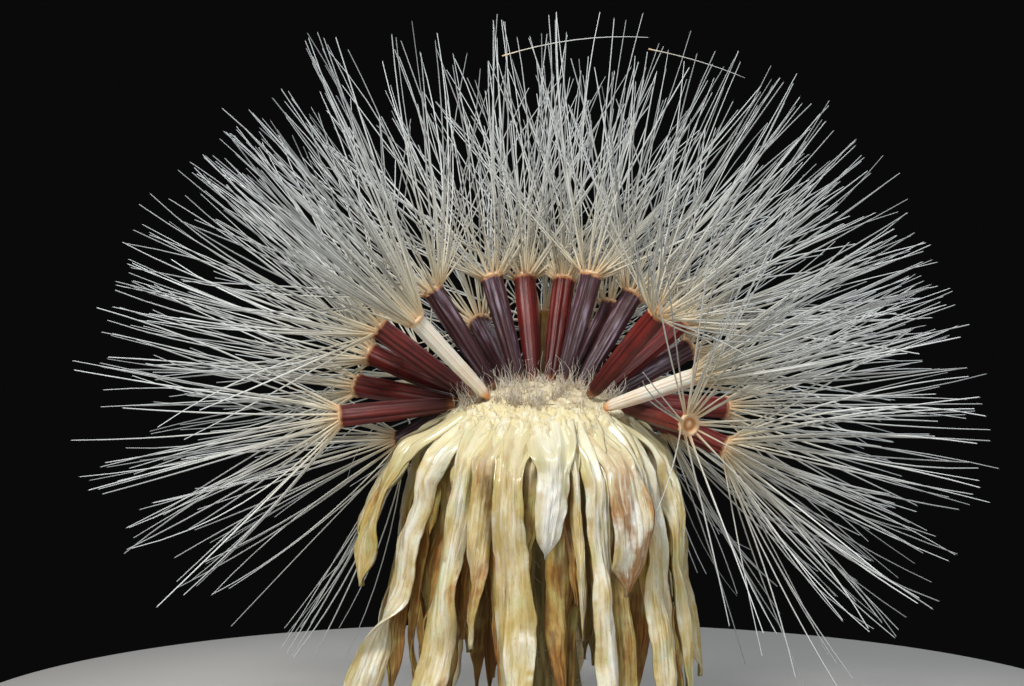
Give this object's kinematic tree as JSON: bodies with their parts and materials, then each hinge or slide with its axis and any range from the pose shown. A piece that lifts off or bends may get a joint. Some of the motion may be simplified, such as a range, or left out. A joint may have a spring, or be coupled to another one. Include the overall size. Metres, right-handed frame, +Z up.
{
  "type": "hawkweed seed head",
  "caption": "Ripe hawkweed seed head: dark ribbed achenes with fans of white bristles on a domed receptacle, over a skirt of dried reflexed bracts.",
  "frame": {"origin": "on the floor, under the middle of the whole head's box", "axes": "+Z up along the cut stalk, the bare front of the receptacle faces -Y, +X to the right across the widest spread of the bristles"},
  "size_m": [0.0256, 0.0236, 0.02],
  "materials": {
    "achene_red": "dry ribbed red-brown fruit wall, faint sheen on the ribs",
    "achene_purple": "dry ribbed purple-brown fruit wall with a blue-grey bloom",
    "achene_pale": "unripe cream fruit wall, orange at the foot",
    "achene_ochre": "dry ribbed ochre fruit wall",
    "pappus": "off-white hair-fine bristles on a cream collar",
    "receptacle": "cream pithy tissue with ragged woolly teeth, ochre down the stalk",
    "bract": "dry straw-coloured bracts, veined, with glossy folds and brown patches",
    "lower_bract": "dull dry olive-straw bracts"
  },
  "bodies": {
    "root": {"achene_01": "achene_red", "pappus_01": "pappus", "achene_02": "achene_red", "pappus_02": "pappus", "achene_03": "achene_red", "pappus_03": "pappus", "achene_04": "achene_red", "pappus_04": "pappus", "achene_05": "achene_pale", "pappus_05": "pappus", "achene_06": "achene_purple", "pappus_06": "pappus", "achene_07": "achene_purple", "pappus_07": "pappus", "achene_08": "achene_purple", "pappus_08": "pappus", "achene_09": "achene_red", "pappus_09": "pappus", "achene_10": "achene_ochre", "pappus_10": "pappus", "achene_11": "achene_red", "pappus_11": "pappus", "achene_12": "achene_purple", "pappus_12": "pappus", "achene_13": "achene_purple", "pappus_13": "pappus", "achene_14": "achene_purple", "pappus_14": "pappus", "achene_15": "achene_purple", "pappus_15": "pappus", "achene_16": "achene_red", "pappus_16": "pappus", "achene_17": "achene_red", "pappus_17": "pappus", "achene_18": "achene_purple", "pappus_18": "pappus", "achene_19": "achene_pale", "pappus_19": "pappus", "achene_20": "achene_red", "pappus_20": "pappus", "achene_21": "achene_red", "pappus_21": "pappus", "achene_22": "achene_red", "pappus_22": "pappus", "achene_23": "achene_purple", "pappus_23": "pappus", "achene_24": "achene_red", "pappus_24": "pappus", "achene_25": "achene_purple", "pappus_25": "pappus", "achene_26": "achene_red", "pappus_26": "pappus", "achene_27": "achene_purple", "pappus_27": "pappus", "achene_28": "achene_red", "pappus_28": "pappus", "receptacle_and_stalk": "receptacle", "upper_bracts": "bract", "lower_bracts": "lower_bract"}
  },
  "joints": []
}
